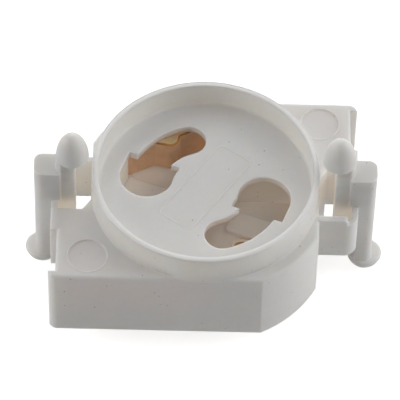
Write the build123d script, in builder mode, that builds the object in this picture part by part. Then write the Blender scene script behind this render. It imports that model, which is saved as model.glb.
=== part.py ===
# Snap-in holder for a fluorescent starter: a moulded housing, its back cover and two contact strips.
# The origin is on the collar's axis in the plane of the underside. +Z points to the starter and
# +X runs along the line through the two snap clips. The whole holder repeats after half a turn about Z.
from build123d import *
import os
from math import radians, sin, sqrt

# Body of the housing
body_height = 9.2
half_depth = 11.9
core_half_width = 12.0
corner_arc_radius = 13.4
block_half_width = 16.15
block_front = 5.8
block_corner_round = 0.9
edge_round = 0.3
wall = 1.0
roof = 0.9

# Shelf of each block, which carries one end of the strap
notch_face = 2.87
shelf_underside = 3.2
shelf_wall = 0.9
notch_corner_width = 0.88
notch_corner_depth = 1.3

# Recess in each block's end, where the lead is pushed in
recess_depth = 0.75
recess_far = 11.0
lead_hole_radius = 1.1

# Round marks on the blocks
mark_radius = 2.05
mark_depth = 0.12
mark_x = 12.1
mark_y = 9.1

# Collar and face plate
collar_base_radius = 12.05
collar_wall = 0.75
collar_rise = 3.2
collar_taper = 1.8
rim_round = 0.14
face_rise = 0.33
face_thickness = 0.9
face_corner_round = 0.25

# Keyholes for the starter's two pins
pin_circle_radius = 6.35
entry_angle = 167.3
entry_radius = 2.85
entry_run = 2.2
entry_lean = 7.7
entry_side_radius = 3.55
slot_shift = 0.09
slot_width = 3.78
slot_end_angle = 107

# Round well under the face plate, with a window for each contact
well_wall = 0.8
well_gap = 0.85
ceiling_inset = 1.1
window_start = 74
window_end = 153
partition_start = 2.0
partition_gap = 0.3

# Back cover
cover_thickness = 1.2
cover_lip = 0.6
cover_clearance = 0.1
floor_clearance = 0.03
bar_start = 2.8
bar_width = 2.82
bar_rise = 0.4
bar_corner_round = 0.4
peg_radius = 0.6
peg_clearance = 0.04
peg_length = 2.6
peg_circle_radius = 11.2
peg_angle = 135
boss_radius = 1.4

# Contact strips
strip_thickness = 0.25
strip_height = 3.35
spring_clearance = 0.08
spring_end_x = 0.3
tip_x = 8.5
tip_drop = 1.32
detent_x = 5.47
detent_rise = 0.2
detent_bend = 0.4
valley_x = 3.12
valley_drop = 0.27
valley_bend_share = 0.62
flank_x = 2.85
flank_share = 0.33
flank_bend = 0.35
run_start_x = 2.9
run_bend = 2.0
cage_bend = 0.5
strip_clearance = 0.15
seat_clearance = 0.05
support_width = 0.7
rib_x = 4.0
rib_thickness = 0.8
lead_window = 2.4
tongue_root_x = 12.3
tongue_tip_x = 9.6
tongue_reach = 0.45
tongue_bend = 0.8

# Strap loops
strap_thickness = 0.66
strap_face = 3.91
strap_corner_radius = 1.4
strap_top_drop = 0.8
plate_end_x = 15.05
plate_end_round = 0.5

# Snap clips
clip_width = 2.87
leg_outer_x = 18.0
leg_round = 0.9
web_inner_x = 15.2
web_top = 12.8
post_inner_x = 13.68
post_width = 2.5
post_top = 11.6
neck_width = 1.9
upper_head_x = 13.95
upper_head_radius = 1.75
upper_head_height = 3.5
upper_shoulder = 14.15
lower_head_x = 17.3
lower_head_radius = 1.87
lower_shoulder = -1.05
shoulder_round = 0.3

# Levels and places that follow from the sizes above
half_circle = 180
socket_radius = collar_base_radius - collar_wall
ceiling_radius = socket_radius - ceiling_inset
ceiling = body_height - roof
face_top = body_height + face_rise
face_underside = face_top - face_thickness
rim_top = body_height + collar_rise
cover_gap_top = cover_thickness + cover_clearance
strap_top = body_height - strap_top_drop
strap_mid_y = strap_face - strap_thickness / 2
strap_mid_x = block_half_width - strap_thickness / 2
recess_x = block_half_width - recess_depth
room_end = recess_x - wall
room_front = block_front + wall
room_back = half_depth - wall
well_radius = room_back - well_gap - well_wall
lead_y = (room_front + room_back) / 2
tail_top = ceiling - strip_clearance
spring_top = face_underside - spring_clearance
strip_bottom = tail_top - strip_height
bar_top = strip_bottom + bar_rise
lead_z = (strip_bottom + tail_top) / 2
notch_root_y = notch_face - notch_corner_depth
notch_corner_x = core_half_width + notch_corner_width
strip_inset = strip_clearance + strip_thickness / 2
tail_y = room_back - strip_inset
cage_x = room_end - strip_inset
cage_front_y = room_front + strip_inset
well_mid_radius = well_radius + well_wall / 2
entry_back_y = entry_radius - pin_circle_radius * sin(radians(entry_angle))
partition_y = entry_back_y + partition_gap
partition_end = sqrt(well_mid_radius**2 - partition_y**2)
well_arc = half_circle + window_start - window_end
corner = (Align.MIN, Align.MIN)
side = (Align.MIN, Align.CENTER)

# Path of the rear contact strip in plan: spring tip, rounded detent, flank, run along the rear wall,
# then the cage that the bare lead enters and the tongue that grips it
valley_y = pin_circle_radius - valley_drop
flank_y = valley_y + flank_share * (tail_y - valley_y)
valley_bend = valley_bend_share * (flank_y - valley_y)
spring_points = [
    (-tip_x, pin_circle_radius - tip_drop),
    (-detent_x, pin_circle_radius + detent_rise),
    (-valley_x, valley_y),
    (-flank_x, flank_y),
    (run_start_x, tail_y),
]
cage_points = [
    (cage_x, tail_y),
    (cage_x, cage_front_y),
    (tongue_root_x, cage_front_y),
    (tongue_tip_x, lead_y + tongue_reach),
]
strip_points = spring_points + cage_points
strip_bends = [detent_bend, valley_bend, flank_bend, run_bend, cage_bend, cage_bend, tongue_bend]
support_points = spring_points + [(room_end - wall, tail_y)]
support_bends = [valley_bend, valley_bend, valley_bend, run_bend]
strap_points = [
    (core_half_width - wall / 2, -strap_mid_y),
    (strap_mid_x, -strap_mid_y),
    (strap_mid_x, notch_face + shelf_wall / 2),
]


def both_ends():
    """The same feature twice, half a turn apart about the collar's axis."""
    return PolarLocations(0, 2)


def half_turn(points):
    """The points after half a turn about the collar's axis."""
    return [(-x, -y) for x, y in points]


def body_outline(inset, block_end):
    """Plan of the body moved inwards by inset, with each block reaching to block_end in X."""
    Circle(corner_arc_radius - inset)
    Rectangle(2 * (core_half_width - inset), 2 * (half_depth - inset), mode=Mode.INTERSECT)
    with both_ends():
        Rectangle(core_half_width - inset, block_front + inset, align=corner)
        with Locations((0, block_front + inset)):
            Rectangle(block_end - inset, half_depth - block_front - 2 * inset, align=corner)


# One snap clip, on the right: a leg and a web outside the strap, a post inside it, and a head at each end
with BuildPart() as clip:
    # Leg from the web down to the lower head
    with BuildSketch(Plane.XY.offset(lower_shoulder)) as leg_plan:
        with Locations((block_half_width, 0)):
            Rectangle(leg_outer_x - block_half_width, clip_width, align=side)
        fillet(leg_plan.vertices().group_by(Axis.X)[-1], leg_round)
    extrude(amount=web_top - lower_shoulder)
    # Web over the strap
    with BuildSketch(Plane.XY.offset(strap_top)):
        with Locations((web_inner_x, 0)):
            Rectangle(block_half_width - web_inner_x, clip_width, align=side)
    extrude(amount=web_top - strap_top)
    # Post inside the strap, narrowed to the neck above
    with BuildSketch(Plane.XY.offset(shelf_underside)):
        with Locations((post_inner_x, 0)):
            Rectangle(strap_mid_x - post_inner_x, post_width, align=side)
    extrude(amount=strap_top - shelf_underside)
    with BuildSketch(Plane.XY.offset(strap_top)):
        with Locations((post_inner_x, 0)):
            Rectangle(web_inner_x - post_inner_x, post_width, align=side)
    extrude(amount=post_top - strap_top)
    with BuildSketch(Plane.XY.offset(post_top)):
        with Locations((post_inner_x, 0)):
            Rectangle(web_inner_x - post_inner_x, post_width, align=side)
    with BuildSketch(Plane.XY.offset(web_top)):
        with Locations((post_inner_x, 0)):
            Rectangle(web_inner_x - post_inner_x, neck_width, align=side)
    loft()
    with BuildSketch(Plane.XY.offset(web_top)):
        with Locations((post_inner_x, 0)):
            Rectangle(web_inner_x - post_inner_x, neck_width, align=side)
    extrude(amount=upper_shoulder - web_top)
    # The part of the upper head that stands over the web is solid down to it
    with BuildSketch(Plane.XY.offset(web_top)):
        with Locations((upper_head_x, 0)):
            Circle(upper_head_radius)
        with Locations((web_inner_x, 0)):
            Rectangle(upper_head_radius, clip_width, align=side, mode=Mode.INTERSECT)
    extrude(amount=upper_shoulder - web_top)
    # Rounded heads with flat shoulders
    upper_plane = Plane(origin=(upper_head_x, 0, upper_shoulder), x_dir=(1, 0, 0), z_dir=(0, -1, 0))
    with BuildSketch(upper_plane) as upper_profile:
        Ellipse(upper_head_radius, upper_head_height)
        Rectangle(upper_head_radius, upper_head_height, align=corner, mode=Mode.INTERSECT)
        fillet(upper_profile.vertices().sort_by(Axis.X)[-1], shoulder_round)
    revolve(axis=Axis(upper_plane.origin, (0, 0, 1)))
    lower_plane = Plane(origin=(lower_head_x, 0, lower_shoulder), x_dir=(1, 0, 0), z_dir=(0, 1, 0))
    with BuildSketch(lower_plane) as lower_profile:
        Circle(lower_head_radius)
        Rectangle(lower_head_radius, lower_head_radius, align=corner, mode=Mode.INTERSECT)
        fillet(lower_profile.vertices().sort_by(Axis.X)[-1], shoulder_round)
    revolve(axis=Axis(lower_plane.origin, (0, 0, 1)))

# The housing is one moulding, clips and straps included
with BuildPart() as housing:
    # Body and blocks, with a bevelled column beside each block and the shelf that carries the strap's end
    with BuildSketch() as footprint:
        body_outline(0, block_half_width)
        block_corners = footprint.vertices().filter_by(lambda v: abs(v.X) > recess_x and abs(v.Y) > recess_far)
        fillet(block_corners, block_corner_round)
    extrude(amount=body_height)
    column_points = [
        (core_half_width - wall, room_front),
        (core_half_width - wall, notch_root_y),
        (core_half_width, notch_root_y),
        (notch_corner_x, notch_face),
        (notch_corner_x, room_front),
    ]
    with BuildSketch():
        Polygon(*column_points, align=None)
        Polygon(*half_turn(column_points), align=None)
    extrude(amount=body_height)
    with BuildSketch(Plane.XY.offset(shelf_underside)):
        with both_ends():
            with Locations((notch_corner_x, notch_face)):
                Rectangle(block_half_width - notch_corner_x, room_front - notch_face, align=corner)
    extrude(amount=body_height - shelf_underside)
    # Recess in the end of each block
    with BuildSketch():
        with both_ends():
            with Locations((recess_x, block_front)):
                Rectangle(2 * recess_depth, recess_far - block_front, align=corner)
    extrude(amount=body_height, mode=Mode.SUBTRACT)
    fillet(housing.faces().sort_by(Axis.Z)[-1].outer_wire().edges(), edge_round)

    # Collar
    with BuildSketch(Plane.XY.offset(body_height - edge_round)):
        Circle(collar_base_radius)
    extrude(amount=edge_round)
    with BuildSketch(Plane.XY.offset(body_height)):
        Circle(collar_base_radius)
    extrude(amount=collar_rise, taper=collar_taper)
    with BuildSketch(Plane.XY.offset(face_top)):
        Circle(socket_radius)
    extrude(amount=rim_top - face_top, mode=Mode.SUBTRACT)
    fillet(housing.faces().sort_by(Axis.Z)[-1].edges(), rim_round)
    face_corner = housing.edges().filter_by(GeomType.CIRCLE).filter_by(
        lambda e: abs(e.radius - socket_radius) < rim_round and abs(e.center().Z - face_top) < rim_round
    )
    fillet(face_corner, face_corner_round)

    # Straps with the free plate that stands up to the deck
    with BuildSketch(Plane.XY.offset(shelf_underside)):
        with BuildLine():
            FilletPolyline(*strap_points, radius=strap_corner_radius - strap_thickness / 2)
        trace(line_width=strap_thickness)
        with BuildLine():
            FilletPolyline(*half_turn(strap_points), radius=strap_corner_radius - strap_thickness / 2)
        trace(line_width=strap_thickness)
    extrude(amount=strap_top - shelf_underside)
    with BuildSketch(Plane.XY.offset(strap_top)):
        with both_ends():
            with Locations((core_half_width - wall / 2, -strap_face)):
                Rectangle(plate_end_x - core_half_width + wall / 2, strap_thickness, align=corner)
    extrude(amount=strap_top_drop)
    plate_ends = housing.edges().filter_by(Axis.Y).filter_by(
        lambda e: abs(abs(e.center().X) - plate_end_x) < edge_round and e.center().Z > strap_top + edge_round
    )
    fillet(plate_ends, plate_end_round)
    with both_ends():
        add(clip.part)

    # Chamber for the contacts, open below, with a higher ceiling under the face plate
    with BuildSketch():
        body_outline(cover_lip, recess_x)
    extrude(amount=cover_gap_top, mode=Mode.SUBTRACT)
    with BuildSketch():
        body_outline(wall, recess_x)
    extrude(amount=ceiling, mode=Mode.SUBTRACT)
    with BuildSketch():
        Circle(ceiling_radius)
    extrude(amount=face_underside, mode=Mode.SUBTRACT)
    with BuildSketch():
        with both_ends():
            with Locations((core_half_width + shelf_wall, notch_face + shelf_wall)):
                Rectangle(block_half_width - core_half_width - 2 * shelf_wall,
                          block_front - notch_face - shelf_wall, align=corner)
    extrude(amount=ceiling, mode=Mode.SUBTRACT)

    # Wall of the round well
    with BuildSketch(Plane.XY.offset(cover_gap_top)):
        with BuildLine():
            CenterArc((0, 0), well_mid_radius, window_end, well_arc)
        trace(line_width=well_wall)
        with BuildLine():
            CenterArc((0, 0), well_mid_radius, window_end + half_circle, well_arc)
        trace(line_width=well_wall)
    extrude(amount=face_underside - cover_gap_top)
    # Partition behind each keyhole's entry, between the pin and the other contact
    with BuildSketch(Plane.XY.offset(strip_bottom)):
        with both_ends():
            with Locations((partition_start, partition_y)):
                Rectangle(partition_end - partition_start, well_wall, align=corner)
    extrude(amount=face_underside - strip_bottom)
    # Bosses for the cover's pegs, and the ribs that hold each strip to the outer wall
    with BuildSketch(Plane.XY.offset(cover_gap_top)):
        with PolarLocations(peg_circle_radius, 2, start_angle=peg_angle):
            Circle(boss_radius)
    extrude(amount=ceiling - cover_gap_top)
    with BuildSketch(Plane.XY.offset(cover_gap_top)):
        with PolarLocations(peg_circle_radius, 2, start_angle=peg_angle):
            Circle(peg_radius + peg_clearance)
    extrude(amount=peg_length, mode=Mode.SUBTRACT)
    rib_root_y = sqrt(well_mid_radius**2 - rib_x**2)
    with BuildSketch(Plane.XY.offset(strip_bottom)):
        with both_ends():
            with Locations((rib_x, rib_root_y)):
                Rectangle(rib_thickness, tail_y - strip_inset - rib_root_y, align=corner)
    extrude(amount=ceiling - strip_bottom)

    # Keyholes, round marks and lead holes
    slot_radius = pin_circle_radius + slot_shift
    slot_arc = CenterArc((0, 0), slot_radius, slot_end_angle, entry_angle - slot_end_angle, mode=Mode.PRIVATE)
    with BuildSketch(Plane.XY.offset(face_underside)):
        with PolarLocations(pin_circle_radius, 2, start_angle=entry_angle):
            Circle(entry_radius)
            Rectangle(entry_run, 2 * entry_radius, rotation=-90 - entry_lean, align=side)
        Circle(entry_side_radius, mode=Mode.SUBTRACT)
        with both_ends():
            SlotArc(slot_arc, slot_width)
    extrude(amount=face_thickness, mode=Mode.SUBTRACT)
    with BuildSketch(Plane.XY.offset(body_height - mark_depth)):
        with both_ends():
            with Locations((mark_x, mark_y)):
                Circle(mark_radius)
    extrude(amount=mark_depth, mode=Mode.SUBTRACT)
    with both_ends():
        with Locations(Location((room_end, lead_y, lead_z), (0, 90, 0))):
            Cylinder(lead_hole_radius, 2 * wall, mode=Mode.SUBTRACT)

# Room that the housing leaves for the cover's ridges
with BuildSketch() as chamber_plan:
    body_outline(wall + cover_clearance, recess_x)

# The back cover closes the chamber, with a raised floor under the keyholes and ridges that carry the strips
with BuildPart() as back_cover:
    with BuildSketch():
        body_outline(cover_lip + cover_clearance, recess_x)
    extrude(amount=cover_thickness)
    bar_angle = entry_angle - entry_lean - half_circle
    with BuildSketch(Plane.XY.offset(cover_thickness)) as bar_plan:
        with PolarLocations(bar_start, 2, start_angle=bar_angle):
            Rectangle(well_radius, bar_width, align=side)
        fillet(bar_plan.vertices().filter_by(lambda v: v.center().length < well_radius / 2), bar_corner_round)
        Circle(well_radius - floor_clearance, mode=Mode.INTERSECT)
    extrude(amount=bar_top - cover_thickness)
    with BuildSketch():
        Circle(well_radius - floor_clearance)
        with PolarLocations(peg_circle_radius, 2, start_angle=peg_angle):
            Circle(boss_radius + cover_clearance, mode=Mode.SUBTRACT)
    extrude(amount=strip_bottom - seat_clearance)
    with BuildSketch():
        with BuildLine():
            FilletPolyline(*support_points, radius=support_bends)
        trace(line_width=support_width)
        with BuildLine():
            FilletPolyline(*half_turn(support_points), radius=support_bends)
        trace(line_width=support_width)
        add(chamber_plan.sketch, mode=Mode.INTERSECT)
    extrude(amount=strip_bottom - seat_clearance)
    with BuildSketch(Plane.XY.offset(cover_thickness)):
        with PolarLocations(peg_circle_radius, 2, start_angle=peg_angle):
            Circle(peg_radius)
    extrude(amount=peg_length)

# The rear contact: low along the wall and in the cage, higher at the spring under the face plate
with BuildPart() as contact_left:
    with BuildSketch(Plane.XY.offset(strip_bottom)) as strip_plan:
        with BuildLine():
            FilletPolyline(*strip_points, radius=strip_bends)
        trace(line_width=strip_thickness)
    extrude(amount=tail_top - strip_bottom)
    with BuildSketch(Plane.XY.offset(tail_top)):
        with BuildLine():
            FilletPolyline(*strip_points, radius=strip_bends)
        trace(line_width=strip_thickness)
        with Locations((spring_end_x, 0)):
            Rectangle(block_half_width, 2 * half_depth, align=(Align.MAX, Align.CENTER), mode=Mode.INTERSECT)
    extrude(amount=spring_top - tail_top)
    with Locations((cage_x, lead_y, lead_z)):
        Box(2 * strip_thickness, lead_window, lead_window, mode=Mode.SUBTRACT)

with BuildPart() as contact_right:
    with Locations(Location((0, 0, 0), (0, 0, 180))):
        add(contact_left.part)

os.makedirs("parts", exist_ok=True)
housing.part.label = "housing"
export_step(housing.part, "parts/housing.step")
back_cover.part.label = "back_cover"
export_step(back_cover.part, "parts/back_cover.step")
contact_left.part.label = "contact_left"
export_step(contact_left.part, "parts/contact_left.step")
contact_right.part.label = "contact_right"
export_step(contact_right.part, "parts/contact_right.step")
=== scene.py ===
"""Looks, light and camera for the fluorescent starter holder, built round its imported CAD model.

All sizes in the properties are in millimetres and all places are in the model's own frame: the origin is
on the collar's axis at the underside, +Z points to the starter and +X runs along the line through the snap
clips.
"""

import bpy
import numpy as np
from bpy.props import FloatProperty, FloatVectorProperty, PointerProperty
from mathutils import Matrix, Vector


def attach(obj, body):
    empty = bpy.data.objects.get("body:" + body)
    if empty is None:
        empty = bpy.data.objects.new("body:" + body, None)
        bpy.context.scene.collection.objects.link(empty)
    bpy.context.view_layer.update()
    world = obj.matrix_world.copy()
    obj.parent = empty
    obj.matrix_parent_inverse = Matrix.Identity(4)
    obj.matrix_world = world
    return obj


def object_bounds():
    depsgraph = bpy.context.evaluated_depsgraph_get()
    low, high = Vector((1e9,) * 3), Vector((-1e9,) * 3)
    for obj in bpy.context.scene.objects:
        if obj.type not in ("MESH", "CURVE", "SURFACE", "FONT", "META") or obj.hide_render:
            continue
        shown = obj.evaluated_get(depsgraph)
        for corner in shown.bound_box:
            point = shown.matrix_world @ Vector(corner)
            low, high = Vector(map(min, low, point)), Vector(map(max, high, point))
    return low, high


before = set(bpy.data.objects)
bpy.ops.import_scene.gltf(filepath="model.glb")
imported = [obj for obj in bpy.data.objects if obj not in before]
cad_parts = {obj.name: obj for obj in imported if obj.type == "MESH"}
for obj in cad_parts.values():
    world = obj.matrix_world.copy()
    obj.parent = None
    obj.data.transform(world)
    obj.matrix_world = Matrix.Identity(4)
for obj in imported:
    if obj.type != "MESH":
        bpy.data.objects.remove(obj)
CAD_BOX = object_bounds()

bl_info = {
    "name": "Starter Holder Looks",
    "version": (1, 0, 0),
    "blender": (4, 5, 0),
    "location": "View3D > Sidebar > Starter Holder",
    "description": "Finishes, stage and camera for a snap-in fluorescent starter holder",
    "category": "Object",
}

MM = 0.001

BLACK = (0.0, 0.0, 0.0, 1.0)
WHITE = (1.0, 1.0, 1.0, 1.0)

# How many points go round each kind of bead and round its section
RIM_STEPS = 256
MARK_STEPS = 96
INSERT_STEPS = 240
SECTION_STEPS = 12

# The share of the light that goes into the beads, and the radius of their edges in mm
BEAD_DEPTH = 0.1
BEAD_SOFTNESS = 0.01

# Waves to a millimetre, detail and roughness of each noise
MOULDING_NOISES = {"cloud": (0.35, 3.0, 0.5), "fine": (9.0, 3.0, 0.6), "pearl": (2.4, 2.0, 0.6)}
BRONZE_NOISES = {"cloud": (1.1, 3.0, 0.5), "drawn": (0.8, 4.0, 0.65), "tarnish": (0.5, 4.0, 0.6)}
FLOOR_NOISE = (0.02, 3.0, 0.5)
NOISE_MEAN = 0.5

# Specks: cells to a millimetre, radius in mm, share of the cells that hold a speck, and how strongly it shows
MOULDING_SPECKS = {
    "dirt": (1.6, 0.08, 0.10, 0.6),
    "grit": (3.2, 0.045, 0.18, 0.35),
    "rust": (1.1, 0.09, 0.10, 0.5),
}
BRONZE_PITS = (1.4, 0.09, 0.22, 0.6)

# The smallest speck's size and the softness of a speck's outline, as shares of the radius, and the step
# between the cells that hold one and those that don't
SMALLEST_SPECK = 0.4
SPECK_OUTLINE = 0.5
CELL_STEP = 0.002

# Where each step in the tones lies and how wide it is. Those in space are in mm.
STEPS = {
    "cloud": (0.5, 0.5),
    "pearl": (0.5, 0.5),
    "painted_edge_highlight": (0.05, 0.08),
    "crevice": (0.72, 0.4),
    "lit_crevice": (0.74, 0.4),
    "shut_in": (0.6, 0.3),
    "strap_start": (14.2, 1.5),
    "strap_top": (11.0, 2.0),
    "well_top": (9.3, 0.3),
    "well_radius": (10.6, 0.8),
    "plate_underside": (8.5, 0.2),
    "plate_top": (9.42, 0.1),
    "keyholes_radius": (10.0, 0.5),
    "chamber_wall_inside": (10.8, 0.1),
    "chamber_wall_outside": (11.0, 0.1),
    "chamber_top": (8.5, 0.3),
    "bright_bronze": (0.5, 0.4),
    "tarnish": (0.55, 0.3),
    "strip_end": (-0.5, 4.0),
}
CUT_EDGE_STEP = 0.05

# How strongly each tone goes over the one before it. The strap tone is painted shade, the keyhole wall's tone
# is painted warm light, and the edge tone is a painted highlight.
SHARES = {
    "pearl": 0.5,
    "strap": 0.8,
    "keyhole_wall": 0.7,
    "keyhole_shade": 0.6,
    "painted_edge_highlight": 0.8,
    "tarnish": 0.35,
    "bright_bronze": 0.35,
}

# How far round a point, in mm, faces count as closing it in, and how many rays look for them or for an edge
CREVICE_REACH = 4.0
CREVICE_RAYS = 8
EDGE_RAYS = 6

# How far each texture swings the roughness, and the bronze's own roughness
CLOUD_ROUGHNESS = 0.10
FINE_ROUGHNESS = 0.08
DIRT_ROUGHNESS = 0.2
DRAWN_ROUGHNESS = 0.12
TARNISH_ROUGHNESS = 0.10
BRONZE_ROUGHNESS = 0.46

# Strength and height in mm of the surface texture, and the share of the broad waves in it
MOULDING_TEXTURE = (0.25, 0.012, 0.8)
BRONZE_TEXTURE = (0.3, 0.008, 0.6)

# How many times finer the bronze's drawn lines are across the strip than along it
DRAWN_STRETCH = 14.0

# How far red, green and blue light go into the plastic, as shares of a length in mm
LIGHT_REACH = (1.0, 0.85, 0.65)
LIGHT_LENGTH = 1.5

# The level of the plastic's gloss, and how metallic the tarnished bronze is
PLASTIC_GLOSS = 0.45
BRONZE_METALLIC = 0.35

# How much darker or lighter than the colour itself some tones are
CLOUD_TONE = 0.975
PEARL_TONE = 0.95
# The strap tone is painted shade on the tops of the thin straps and clips
STRAP_SHADE_TONE = 0.90
TARNISH_TONE = 0.7
BRIGHT_TONE = 1.15
FLOOR_TONE = 0.985

# The camera's place in metres, the directions of its picture's right and top, its sensor's width in mm, and
# the nearest and farthest distance that it sees, in metres
CAMERA_PLACE = (-0.0018772, -0.2347515, 0.3139562)
CAMERA_RIGHT = (0.99973162, 0.01605151, 0.01670468)
CAMERA_UP = (-0.02289912, 0.79396323, 0.60753438)
CAMERA_SENSOR = 36.0
CAMERA_CLIP = (0.01, 10.0)

# Half the floor's side in metres, and the point that the lamps face
FLOOR_HALF = 1.2
LAMP_AIM = (0.0, 0.0, 8 * MM)

# Where each lamp stands and how wide it is, in metres
LAMPS = {
    "front_lamp": ((0.0, -0.32, 0.50), 0.35),
    "left_lamp": ((-0.55, -0.05, 0.22), 0.35),
    "right_lamp": ((0.55, 0.05, 0.22), 0.35),
    "upper_lamp": ((0.33, 0.0, 0.50), 0.35),
    "back_lamp": ((0.0, 0.55, 0.22), 0.40),
    "rear_left_lamp": ((-0.30, 0.30, 0.42), 0.35),
    "rear_right_lamp": ((0.30, 0.30, 0.42), 0.35),
}


class Value:
    """A number on a socket. Arithmetic on it adds Math nodes to the finish it belongs to."""

    def __init__(self, finish, socket):
        self.finish = finish
        self.socket = socket

    def _math(self, operation, *parts):
        return self.finish.node("ShaderNodeMath", {"operation": operation}, dict(enumerate(parts)))

    def __add__(self, other):
        return self._math("ADD", self, other)

    __radd__ = __add__

    def __sub__(self, other):
        return self._math("SUBTRACT", self, other)

    def __rsub__(self, other):
        return self._math("SUBTRACT", other, self)

    def __mul__(self, other):
        return self._math("MULTIPLY", self, other)

    __rmul__ = __mul__

    def __pow__(self, other):
        return self._math("POWER", self, other)

    def __abs__(self):
        return self._math("ABSOLUTE", self)

    def highest(self, other):
        return self._math("MAXIMUM", self, other)

    def above(self, level, softness):
        """0 below level, 1 above it, with a smooth step as wide as softness."""
        return self.finish.node(
            "ShaderNodeMapRange",
            {"interpolation_type": "SMOOTHSTEP"},
            {"Value": self, "From Min": level - softness / 2, "From Max": level + softness / 2},
        )

    def below(self, level, softness):
        """1 below level and 0 above it."""
        return 1 - self.above(level, softness)


class Finish:
    """One procedural material. Its coordinates are Object coordinates in millimetres."""

    def __init__(self, name, world=False):
        self.material = (bpy.data.worlds if world else bpy.data.materials).new(name)
        self.material.use_nodes = True
        self.tree = self.material.node_tree
        self.tree.nodes.clear()
        self.output = self.tree.nodes.new("ShaderNodeOutputWorld" if world else "ShaderNodeOutputMaterial")

    def node(self, kind, settings=None, inputs=None, output=0):
        """Adds a node of a type, makes its settings, then sets or links its sockets. Gives one output."""
        made = self.tree.nodes.new(kind)
        for name, setting in (settings or {}).items():
            setattr(made, name, setting)
        for name, value in (inputs or {}).items():
            self.feed(made.inputs[name], value)
        return Value(self, made.outputs[output])

    def feed(self, socket, value):
        """A link where value is an output, and otherwise the socket's own value."""
        if isinstance(value, Value):
            self.tree.links.new(value.socket, socket)
        else:
            socket.default_value = value

    def place(self):
        """Object coordinates in millimetres, as a vector."""
        coordinates = self.node("ShaderNodeTexCoord", output="Object")
        return self.node("ShaderNodeVectorMath", {"operation": "SCALE"}, {0: coordinates, "Scale": 1 / MM})

    def axes(self, vector):
        """The X, Y and Z of a vector."""
        parts = self.node("ShaderNodeSeparateXYZ", None, {0: vector})
        return [Value(self, output) for output in parts.socket.node.outputs]

    def stretched(self, vector, z):
        """The vector with Z scaled, for a grain that runs along the strips."""
        return self.node("ShaderNodeMapping", None, {"Vector": vector, "Scale": (1.0, 1.0, z)})

    def noise(self, vector, scale, detail, roughness):
        """Smooth random values round 0.5, with that many waves to a millimetre."""
        return self.node(
            "ShaderNodeTexNoise",
            None,
            {"Vector": vector, "Scale": scale, "Detail": detail, "Roughness": roughness},
        )

    def mix(self, share, first, second):
        """A colour that goes from first to second as share goes from 0 to 1."""
        return self.node("ShaderNodeMix", {"data_type": "RGBA"}, {0: share, 6: first, 7: second}, output=2)

    def specks(self, vector, scale, radius, share):
        """1 in small round specks, one at most in each Voronoi cell, in that share of the cells."""
        cells = self.node("ShaderNodeTexVoronoi", None, {"Vector": vector, "Scale": scale, "Randomness": 1.0})
        node = cells.socket.node
        red, green, _ = self.axes(Value(self, node.outputs["Color"]))
        widest = radius * scale
        size = widest * (SMALLEST_SPECK + (1 - SMALLEST_SPECK) * green)
        spot = (size - Value(self, node.outputs["Distance"])).above(0, widest * SPECK_OUTLINE)
        return spot * red.above(1 - share, CELL_STEP)

    def openness(self, reach):
        """1 on an open face, and less where faces within reach, in millimetres, close it in."""
        settings = {"samples": CREVICE_RAYS}
        return self.node("ShaderNodeAmbientOcclusion", settings, {"Distance": reach * MM}, "AO")

    def turned(self, normal):
        """How far a rounded normal is turned from the face's own: 0 on a flat, more towards an edge."""
        face = self.node("ShaderNodeNewGeometry", output="Normal")
        alike = self.node("ShaderNodeVectorMath", {"operation": "DOT_PRODUCT"}, {0: normal, 1: face}, "Value")
        return 1 - alike

    def seen_ray(self):
        """1 for rays from the camera and those that glass or a gloss sends on, and 0 for all other light."""
        camera, glossy, transmission = (
            self.node("ShaderNodeLightPath", output=name)
            for name in ("Is Camera Ray", "Is Glossy Ray", "Is Transmission Ray")
        )
        return camera.highest(glossy).highest(transmission)

    def surface(self, **sockets):
        """The shader itself, with each socket's value or link. Underscores stand for spaces."""
        inputs = {name.replace("_", " "): value for name, value in sockets.items()}
        shader = self.node("ShaderNodeBsdfPrincipled", None, inputs)
        self.feed(self.output.inputs["Surface"], shader)
        return self.material


def rgba(colour, tone=1.0):
    """A colour property as four numbers, made darker or lighter by a tone."""
    return (*(min(1.0, part * tone) for part in colour), 1.0)


def dress(name, material):
    """Gives a CAD node its material."""
    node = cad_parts[name]
    node.data.materials.clear()
    node.data.materials.append(material)


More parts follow.
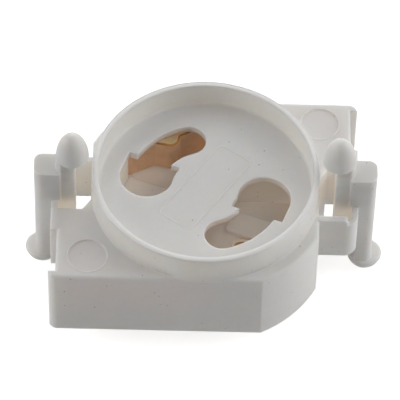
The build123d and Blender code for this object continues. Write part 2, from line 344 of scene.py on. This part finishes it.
def moulded(name, colour, warmth=0.0, speckled=0.0, closed_in=0.0, glow=0.0, depth=0.8, softness=None):
    """White moulding compound: soft mottling, moulding texture, specks, painted highlights on the edges,
    painted shade on the tops of the thin straps and clips, painted warm light deep in the well, on closed-in
    faces and on the keyhole walls, and a glow for the light that comes through the thin walls. warmth is how
    strongly the well and the keyholes take their painted light, speckled how many specks there are, closed_in
    how strongly crevices take their painted light, glow the level of the light, depth the share of light that
    goes into the compound, and softness the radius of its edges in mm."""
    props = bpy.context.scene.starter_holder_finish
    finish = Finish(name)
    place = finish.place()
    x, y, z = finish.axes(place)
    radius = (x * x + y * y) ** 0.5
    cloud, fine, pearl = (finish.noise(place, *MOULDING_NOISES[kind]) for kind in ("cloud", "fine", "pearl"))
    softness = softness or props.edge_softness
    soft_edge = finish.node("ShaderNodeBevel", {"samples": EDGE_RAYS}, {"Radius": softness * MM})
    edge = finish.turned(soft_edge).above(*STEPS["painted_edge_highlight"])
    hidden = 1 - finish.openness(CREVICE_REACH)
    slim = abs(x).above(*STEPS["strap_start"]) * z.above(*STEPS["strap_top"])
    deep = z.below(*STEPS["well_top"]) * radius.below(*STEPS["well_radius"]) * warmth
    in_plate = z.above(*STEPS["plate_underside"]) * z.below(*STEPS["plate_top"])
    cut = in_plate * radius.below(*STEPS["keyholes_radius"]) * warmth
    in_wall = abs(y).above(*STEPS["chamber_wall_inside"]) * abs(y).below(*STEPS["chamber_wall_outside"])
    behind = in_wall * z.below(*STEPS["chamber_top"]) * hidden.above(*STEPS["shut_in"])

    tone = finish.mix(cloud.above(*STEPS["cloud"]), rgba(colour, CLOUD_TONE), rgba(colour))
    tone = finish.mix(pearl.below(*STEPS["pearl"]) * SHARES["pearl"], tone, rgba(colour, PEARL_TONE))
    # Painted shade: the tops of the thin straps and clips are darkened
    tone = finish.mix(slim * SHARES["strap"], tone, rgba(colour, STRAP_SHADE_TONE))
    # Painted warm light on faces that nearby faces close in, found by ambient occlusion
    tone = finish.mix(hidden.above(*STEPS["crevice"]) * closed_in, tone, rgba(props.crevice_light_colour))
    # Painted warm light deep in the well
    tone = finish.mix(deep, tone, rgba(props.well_light_colour))
    # Painted warm light on the keyhole walls
    tone = finish.mix(cut * SHARES["keyhole_wall"], tone, rgba(props.keyhole_light_colour))
    # Painted highlight on the edges, where the rounded normal turns away from the face's own
    tone = finish.mix(edge * SHARES["painted_edge_highlight"], tone, rgba(props.edge_colour))
    spots = {}
    for kind, (cells, size, share, strength) in MOULDING_SPECKS.items():
        spots[kind] = finish.specks(place, cells, size, share * speckled)
        tone = finish.mix(spots[kind] * strength, tone, rgba(getattr(props, f"{kind}_colour")))

    through = finish.mix(hidden.above(*STEPS["lit_crevice"]), BLACK, rgba(props.glow_colour))
    through = finish.mix(cut * SHARES["keyhole_shade"], through, BLACK)
    through = finish.mix(behind, through, rgba(props.strip_glow_colour))
    swing = CLOUD_ROUGHNESS * (cloud - NOISE_MEAN) + FINE_ROUGHNESS * (fine - NOISE_MEAN)
    strength, height, broad = MOULDING_TEXTURE
    grain = finish.node(
        "ShaderNodeBump",
        None,
        {"Strength": strength, "Distance": height * MM, "Height": fine + broad * cloud, "Normal": soft_edge},
    )
    return finish.surface(
        Base_Color=tone,
        Roughness=props.plastic_roughness + swing + DIRT_ROUGHNESS * spots["dirt"],
        Normal=grain,
        Emission_Color=through,
        Emission_Strength=glow,
        Subsurface_Weight=depth,
        Subsurface_Radius=LIGHT_REACH,
        Subsurface_Scale=LIGHT_LENGTH * MM,
        Specular_IOR_Level=PLASTIC_GLOSS,
    )


def rolled_bronze(name, colour, edge_colour, side):
    """Rolled contact strip: drawn lines along it, cloudy tarnish, dark pits, an edge colour on top, and warm
    light on the end that lies towards that side of X. The edge colour is a bare cut edge on the left strip
    and painted shade on the right one."""
    props = bpy.context.scene.starter_holder_finish
    finish = Finish(name)
    place = finish.place()
    x, _, z = finish.axes(place)
    cloud = finish.noise(place, *BRONZE_NOISES["cloud"])
    drawn = finish.noise(finish.stretched(place, DRAWN_STRETCH), *BRONZE_NOISES["drawn"])
    tarnish = finish.noise(place, *BRONZE_NOISES["tarnish"]).above(*STEPS["tarnish"])
    bright = cloud.above(*STEPS["bright_bronze"])
    *pit_sizes, pit_strength = BRONZE_PITS
    pits = finish.specks(place, *pit_sizes)
    top = z.above(props.cut_edge_level, CUT_EDGE_STEP)
    lit_end = (x * side).above(*STEPS["strip_end"])
    tone = finish.mix(tarnish * SHARES["tarnish"], rgba(colour), rgba(colour, TARNISH_TONE))
    tone = finish.mix(bright * SHARES["bright_bronze"], tone, rgba(colour, BRIGHT_TONE))
    tone = finish.mix(pits * pit_strength, tone, rgba(props.dirt_colour))
    # The top edge: bare cut metal on the left strip, painted shade on the right one
    tone = finish.mix(top, tone, rgba(edge_colour))
    strength, height, broad = BRONZE_TEXTURE
    scratches = finish.node(
        "ShaderNodeBump",
        None,
        {"Strength": strength, "Distance": height * MM, "Height": drawn + broad * cloud},
    )
    return finish.surface(
        Base_Color=tone,
        Metallic=BRONZE_METALLIC,
        Roughness=BRONZE_ROUGHNESS + DRAWN_ROUGHNESS * (drawn - NOISE_MEAN) + TARNISH_ROUGHNESS * tarnish,
        Normal=scratches,
        Emission_Color=finish.mix(lit_end, BLACK, rgba(props.strip_light_colour)),
        Emission_Strength=props.strip_light,
    )


def surface_piece(name, grid, material):
    """A closed mesh from a grid of points that joins up both ways. Each face lies between two neighbouring
    lines of both directions, and points outwards where the first direction runs anticlockwise in plan
    and the second goes from the inside up and over."""
    rows, columns, _ = grid.shape
    index = np.arange(rows * columns).reshape(rows, columns)
    ahead, beside = np.roll(index, -1, axis=0), np.roll(index, -1, axis=1)
    faces = np.stack([index, beside, np.roll(ahead, -1, axis=1), ahead], axis=-1).reshape(-1, 4)
    mesh = bpy.data.meshes.new(name)
    mesh.from_pydata((grid.reshape(-1, 3) * MM).tolist(), [], faces.tolist())
    mesh.shade_smooth()
    mesh.materials.append(material)
    piece = bpy.data.objects.new(name, mesh)
    bpy.context.scene.collection.objects.link(piece)
    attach(piece, "root")
    return piece


def bead(path, inward, level, width, height):
    """A fine moulded bead along a closed path in plan. Each point is path + width / 2 * cos(v) * inward, at
    the height level + height * sin(v), where v goes once round the bead, so its lower half lies in the
    face under it."""
    turn = np.linspace(0, 2 * np.pi, SECTION_STEPS, endpoint=False)
    across = path[:, None, :] + width / 2 * np.cos(turn)[None, :, None] * inward[:, None, :]
    rise = np.broadcast_to(level + height * np.sin(turn), across.shape[:2])
    return np.concatenate([across, rise[:, :, None]], axis=2)


def ring_path(centre, radius, steps):
    """A circle in plan: centre + radius * (cos(u), sin(u)), and the direction from it to the centre."""
    turn = np.linspace(0, 2 * np.pi, steps, endpoint=False)
    outward = np.column_stack([np.cos(turn), np.sin(turn)])
    return np.array(centre) + radius * outward, -outward


def frame_path(length, width, corner, angle, steps):
    """A rounded rectangle about the origin: the point of a superellipse |a|^n + |b|^n = 1, with its long side
    turned by angle in degrees. A large n gives small corners. The inward direction is normal to the
    line."""
    turn = np.linspace(0, 2 * np.pi, steps, endpoint=False)
    power = 2.0 / corner
    a = length / 2 * np.sign(np.cos(turn)) * np.abs(np.cos(turn)) ** power
    b = width / 2 * np.sign(np.sin(turn)) * np.abs(np.sin(turn)) ** power
    path = np.column_stack([a, b])
    along = np.roll(path, -1, axis=0) - np.roll(path, 1, axis=0)
    along /= np.linalg.norm(along, axis=1)[:, None]
    inward = np.column_stack([-along[:, 1], along[:, 0]])
    cosine, sine = np.cos(np.radians(angle)), np.sin(np.radians(angle))
    rotation = np.array([[cosine, sine], [-sine, cosine]])
    return path @ rotation, inward @ rotation


class StarterHolderFinish(bpy.types.PropertyGroup):
    """Colours and surface values of the moulding and the contacts."""

    plastic_colour: FloatVectorProperty(
        name="Plastic",
        description="Colour of the moulding",
        subtype="COLOR",
        size=3,
        default=(0.80, 0.795, 0.78),
    )
    cover_colour: FloatVectorProperty(
        name="Cover",
        description="Colour of the back cover",
        subtype="COLOR",
        size=3,
        default=(0.97, 0.90, 0.83),
    )
    # Painted warm light deep inside the well
    well_light_colour: FloatVectorProperty(
        name="Inside",
        description="Warm tone deep inside the well",
        subtype="COLOR",
        size=3,
        default=(0.97, 0.90, 0.81),
    )
    # Painted warm light on closed-in faces
    crevice_light_colour: FloatVectorProperty(
        name="Crevice",
        description="Tone of closed-in faces",
        subtype="COLOR",
        size=3,
        default=(0.95, 0.90, 0.84),
    )
    # Painted warm light on the keyholes' cut walls
    keyhole_light_colour: FloatVectorProperty(
        name="Keyhole Wall",
        description="Tone of the keyholes' cut walls",
        subtype="COLOR",
        size=3,
        default=(0.84, 0.78, 0.75),
    )
    # Painted highlight on the moulding's edges
    edge_colour: FloatVectorProperty(
        name="Edge", description="Tone of worn edges", subtype="COLOR", size=3, default=(0.96, 0.96, 0.95)
    )
    glow_colour: FloatVectorProperty(
        name="Glow",
        description="Light that comes through the thin walls",
        subtype="COLOR",
        size=3,
        default=(0.48, 0.418, 0.355),
    )
    strip_glow_colour: FloatVectorProperty(
        name="Strip Glow",
        description="Light that the strips throw on the walls behind them",
        subtype="COLOR",
        size=3,
        default=(0.56, 0.39, 0.20),
    )
    wall_glow: FloatProperty(
        name="Wall Glow",
        description="Level of the light that comes through the thin walls",
        default=0.25,
        min=0,
    )
    # Painted highlight: the beads are coloured lighter than the moulding so that they catch the light
    bead_highlight_colour: FloatVectorProperty(
        name="Bead",
        description="Colour of the fine moulding lines",
        subtype="COLOR",
        size=3,
        default=(0.93, 0.93, 0.92),
    )
    dirt_colour: FloatVectorProperty(
        name="Dirt",
        description="Colour of the dark specks",
        subtype="COLOR",
        size=3,
        default=(0.22, 0.15, 0.12),
    )
    rust_colour: FloatVectorProperty(
        name="Rust",
        description="Colour of the reddish specks",
        subtype="COLOR",
        size=3,
        default=(0.45, 0.20, 0.12),
    )
    grit_colour: FloatVectorProperty(
        name="Grit",
        description="Colour of the finest specks",
        subtype="COLOR",
        size=3,
        default=(0.36, 0.30, 0.27),
    )
    bronze_colour: FloatVectorProperty(
        name="Bronze",
        description="Colour of the contact strip",
        subtype="COLOR",
        size=3,
        default=(0.84, 0.56, 0.36),
    )
    strip_light_colour: FloatVectorProperty(
        name="Strip Light",
        description="Light on the inner end of a contact strip",
        subtype="COLOR",
        size=3,
        default=(0.70, 0.375, 0.20),
    )
    cut_edge_colour: FloatVectorProperty(
        name="Cut Edge",
        description="Colour of the strip's bare edge",
        subtype="COLOR",
        size=3,
        default=(0.34, 0.15, 0.03),
    )
    # Painted shade: the right strip's edge takes the tone of the shaded floor around it
    shaded_edge_colour: FloatVectorProperty(
        name="Shaded Edge",
        description="Colour of the other strip's edge",
        subtype="COLOR",
        size=3,
        default=(0.36, 0.28, 0.21),
    )
    strip_light: FloatProperty(
        name="Strip Light Level",
        description="Level of the light on the strips' inner ends",
        default=0.2,
        min=0,
    )
    cut_edge_level: FloatProperty(
        name="Cut Edge Level",
        description="Height above which the strips show their cut edge, in mm",
        default=8.51,
    )
    plastic_roughness: FloatProperty(
        name="Plastic Roughness",
        description="Roughness of the moulding",
        subtype="FACTOR",
        default=0.42,
        min=0,
        max=1,
    )
    edge_softness: FloatProperty(
        name="Edge Softness",
        description="Radius by which the moulding's edges catch the light, in mm",
        default=0.26,
    )


class StarterHolderLines(bpy.types.PropertyGroup):
    """Places and sizes of the fine beads, in millimetres."""

    rim_inner_radius: FloatProperty(
        name="Inner Rim Bead", description="Radius of the rim's inner bead, in mm", default=11.58
    )
    rim_outer_radius: FloatProperty(
        name="Outer Rim Bead", description="Radius of the rim's outer bead, in mm", default=11.87
    )
    rim_level: FloatProperty(name="Rim Level", description="Height of the collar's rim, in mm", default=12.4)
    rim_bead_width: FloatProperty(
        name="Rim Bead Width", description="Width of the rim's inner bead, in mm", default=0.44
    )
    rim_line_width: FloatProperty(
        name="Rim Line Width", description="Width of the rim's outer bead, in mm", default=0.10
    )
    deck_level: FloatProperty(name="Deck Level", description="Height of the blocks' tops, in mm", default=9.2)
    face_level: FloatProperty(
        name="Face Level", description="Height of the face plate's top, in mm", default=9.53
    )
    mark_x: FloatProperty(name="Mark X", description="Place of the ejector marks in X, in mm", default=12.1)
    mark_y: FloatProperty(name="Mark Y", description="Place of the ejector marks in Y, in mm", default=9.1)
    mark_radius: FloatProperty(
        name="Mark Radius", description="Radius of the bead round each mark, in mm", default=2.1
    )
    bead_width: FloatProperty(name="Bead Width", description="Width of the other beads, in mm", default=0.12)
    bead_height: FloatProperty(
        name="Bead Height", description="Height of a bead over its face, in mm", default=0.04
    )
    insert_bead_height: FloatProperty(
        name="Insert Bead Height", description="Height of the bead round the insert, in mm", default=0.02
    )
    insert_length: FloatProperty(
        name="Insert Length", description="Length of the mould's insert in the face, in mm", default=11.2
    )
    insert_width: FloatProperty(
        name="Insert Width", description="Width of the mould's insert in the face, in mm", default=4.1
    )
    insert_angle: FloatProperty(
        name="Insert Angle", description="Turn of the insert's long side from X, in degrees", default=55
    )
    insert_corner: FloatProperty(
        name="Insert Corner", description="Power of the insert's rounded corners", default=14, min=2
    )


class StarterHolderStage(bpy.types.PropertyGroup):
    """Floor, lamps and camera."""

    floor_colour: FloatVectorProperty(
        name="Floor", description="Colour of the floor", subtype="COLOR", size=3, default=(0.86, 0.86, 0.86)
    )
    floor_glow: FloatProperty(
        name="Floor Glow",
        description="Level of the light that makes the floor white to the camera",
        default=0.68,
        min=0,
    )
    floor_drop: FloatProperty(
        name="Floor Drop", description="Gap below the lower heads, in mm", default=0.03, min=0
    )
    front_lamp: FloatProperty(
        name="Front Lamp", description="Power of the high lamp in front", subtype="POWER", default=0.355
    )
    left_lamp: FloatProperty(
        name="Left Lamp", description="Power of the low lamp at the left", subtype="POWER", default=1.28
    )
    right_lamp: FloatProperty(
        name="Right Lamp", description="Power of the low lamp at the right", subtype="POWER", default=1.46
    )
    upper_lamp: FloatProperty(
        name="Upper Lamp", description="Power of the high lamp at the right", subtype="POWER", default=0.44
    )
    back_lamp: FloatProperty(
        name="Back Lamp", description="Power of the low lamp behind", subtype="POWER", default=1.15
    )
    rear_left_lamp: FloatProperty(
        name="Rear Left Lamp",
        description="Power of the high lamp behind at the left",
        subtype="POWER",
        default=0.46,
    )
    rear_right_lamp: FloatProperty(
        name="Rear Right Lamp",
        description="Power of the high lamp behind at the right",
        subtype="POWER",
        default=0.19,
    )
    sky: FloatProperty(name="Sky", description="Level of the even light all round", default=0.02, min=0)
    lens: FloatProperty(
        name="Lens", description="Focal length on a 36 mm sensor", default=328.59, unit="CAMERA"
    )


class STARTERHOLDER_OT_moulding(bpy.types.Operator):
    """Finish the housing and the back cover as moulded white plastic"""

    bl_idname = "starter_holder.moulding"
    bl_label = "Finish Moulding"

    def execute(self, context):
        props = context.scene.starter_holder_finish
        housing = moulded(
            "housing_plastic",
            props.plastic_colour,
            warmth=1.0,
            speckled=1.0,
            closed_in=0.9,
            glow=props.wall_glow,
        )
        dress("housing", housing)
        dress("back_cover", moulded("cover_plastic", props.cover_colour, speckled=0.5))
        return {"FINISHED"}


class STARTERHOLDER_OT_moulding_lines(bpy.types.Operator):
    """Add the fine beads that the mould leaves: on the rim, round the ejector marks and round the insert"""

    bl_idname = "starter_holder.moulding_lines"
    bl_label = "Add Moulding Lines"

    def execute(self, context):
        props = context.scene.starter_holder_lines
        # The beads' lighter colour is a painted highlight
        colour = context.scene.starter_holder_finish.bead_highlight_colour
        plastic = moulded("bead_plastic", colour, depth=BEAD_DEPTH, softness=BEAD_SOFTNESS)
        for name, radius, width in (
            ("rim_bead", props.rim_inner_radius, props.rim_bead_width),
            ("rim_line", props.rim_outer_radius, props.rim_line_width),
        ):
            path, inward = ring_path((0, 0), radius, RIM_STEPS)
            grid = bead(path, inward, props.rim_level, width, props.bead_height)
            surface_piece(name, grid, plastic)
        for name, side in (("mark_bead_1", 1), ("mark_bead_2", -1)):
            centre = (side * props.mark_x, side * props.mark_y)
            path, inward = ring_path(centre, props.mark_radius, MARK_STEPS)
            grid = bead(path, inward, props.deck_level, props.bead_width, props.bead_height)
            surface_piece(name, grid, plastic)
        path, inward = frame_path(
            props.insert_length, props.insert_width, props.insert_corner, props.insert_angle, INSERT_STEPS
        )
        grid = bead(path, inward, props.face_level, props.bead_width, props.insert_bead_height)
        surface_piece("insert_bead", grid, plastic)
        return {"FINISHED"}


class STARTERHOLDER_OT_contacts(bpy.types.Operator):
    """Finish the contact strips as rolled bronze: the left with a bare cut edge, the right with its edge
    painted in shade
    """

    bl_idname = "starter_holder.contacts"
    bl_label = "Finish Contacts"

    def execute(self, context):
        props = context.scene.starter_holder_finish
        left = rolled_bronze("contact_bronze", props.bronze_colour, props.cut_edge_colour, side=1)
        # The right strip's edge is painted in shade, in the tone of the shaded floor around it
        right = rolled_bronze("dull_bronze", props.bronze_colour, props.shaded_edge_colour, side=-1)
        dress("contact_left", left)
        dress("contact_right", right)
        return {"FINISHED"}


class STARTERHOLDER_OT_stage(bpy.types.Operator):
    """Set the floor, the lamps, the sky and the camera"""

    bl_idname = "starter_holder.stage"
    bl_label = "Set Stage"

    def execute(self, context):
        props = context.scene.starter_holder_stage
        scene = context.scene
        scene.view_settings.view_transform = "Standard"
        self.floor(props)
        for name, (place, size) in LAMPS.items():
            self.lamp(name, place, size, getattr(props, name))
        self.sky(scene, props)
        self.camera(scene, props)
        return {"FINISHED"}

    def floor(self, props):
        """A flat sheet just under the lower heads. The camera sees it white, and it keeps the shadow."""
        level = CAD_BOX[0].z - props.floor_drop * MM
        corners = FLOOR_HALF * np.array([(-1, -1), (1, -1), (1, 1), (-1, 1)])
        corners = np.column_stack([corners, np.full(len(corners), level)])
        mesh = bpy.data.meshes.new("floor")
        mesh.from_pydata(corners.tolist(), [], [(0, 1, 2, 3)])
        floor = bpy.data.objects.new("floor", mesh)
        bpy.context.scene.collection.objects.link(floor)
        finish = Finish("floor_paint")
        grain = finish.noise(finish.place(), *FLOOR_NOISE)
        tone = finish.mix(grain, rgba(props.floor_colour, FLOOR_TONE), rgba(props.floor_colour))
        paint = finish.node("ShaderNodeBsdfDiffuse", None, {"Color": tone})
        glow = finish.node("ShaderNodeEmission", None, {"Color": WHITE, "Strength": props.floor_glow})
        lit = finish.node("ShaderNodeAddShader", None, {0: paint, 1: glow})
        seen = finish.node("ShaderNodeMixShader", None, {0: finish.seen_ray(), 1: paint, 2: lit})
        finish.feed(finish.output.inputs["Surface"], seen)
        floor.data.materials.append(finish.material)

    def lamp(self, name, place, size, power):
        """A square area lamp that faces the collar."""
        data = bpy.data.lights.new(name, "AREA")
        data.size = size
        data.energy = power
        lamp = bpy.data.objects.new(name, data)
        lamp.location = place
        aim = Vector(LAMP_AIM) - Vector(place)
        lamp.rotation_euler = aim.to_track_quat("-Z", "Y").to_euler()
        bpy.context.scene.collection.objects.link(lamp)

    def sky(self, scene, props):
        """Even pale light, and plain white to the camera and in reflections of the background."""
        finish = Finish("sky", world=True)
        even, white = (
            finish.node("ShaderNodeBackground", None, {"Color": WHITE, "Strength": level})
            for level in (props.sky, 1.0)
        )
        seen = finish.node("ShaderNodeMixShader", None, {0: finish.seen_ray(), 1: even, 2: white})
        finish.feed(finish.output.inputs["Surface"], seen)
        scene.world = finish.material

    def camera(self, scene, props):
        """The camera at the place and turn that the fitted view gives."""
        data = bpy.data.cameras.new("camera")
        data.sensor_width = CAMERA_SENSOR
        data.lens = props.lens
        data.clip_start, data.clip_end = CAMERA_CLIP
        camera = bpy.data.objects.new("camera", data)
        right, up = Vector(CAMERA_RIGHT), Vector(CAMERA_UP)
        turn = Matrix((right, up, right.cross(up))).transposed().to_4x4()
        camera.matrix_world = Matrix.Translation(CAMERA_PLACE) @ turn
        scene.collection.objects.link(camera)
        scene.camera = camera


class STARTERHOLDER_PT_panel(bpy.types.Panel):
    """Sizes, colours and lamps of the starter holder"""

    bl_label = "Starter Holder"
    bl_idname = "STARTERHOLDER_PT_panel"
    bl_space_type = "VIEW_3D"
    bl_region_type = "UI"
    bl_category = "Starter Holder"

    def draw(self, context):
        layout = self.layout
        scene = context.scene
        for group in (scene.starter_holder_finish, scene.starter_holder_lines, scene.starter_holder_stage):
            column = layout.column()
            for name in group.__annotations__:
                column.prop(group, name)
        for operator in OPERATORS:
            layout.operator(operator.bl_idname)


OPERATORS = (
    STARTERHOLDER_OT_moulding,
    STARTERHOLDER_OT_moulding_lines,
    STARTERHOLDER_OT_contacts,
    STARTERHOLDER_OT_stage,
)
CLASSES = (StarterHolderFinish, StarterHolderLines, StarterHolderStage, *OPERATORS, STARTERHOLDER_PT_panel)


def register():
    for item in CLASSES:
        bpy.utils.register_class(item)
    bpy.types.Scene.starter_holder_finish = PointerProperty(type=StarterHolderFinish)
    bpy.types.Scene.starter_holder_lines = PointerProperty(type=StarterHolderLines)
    bpy.types.Scene.starter_holder_stage = PointerProperty(type=StarterHolderStage)


def unregister():
    del bpy.types.Scene.starter_holder_stage
    del bpy.types.Scene.starter_holder_lines
    del bpy.types.Scene.starter_holder_finish
    for item in reversed(CLASSES):
        bpy.utils.unregister_class(item)


def main():
    """Registers the add-on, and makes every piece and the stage."""
    register()
    bpy.ops.starter_holder.moulding()
    bpy.ops.starter_holder.moulding_lines()
    bpy.ops.starter_holder.contacts()
    bpy.ops.starter_holder.stage()


if __name__ == "__main__":
    main()
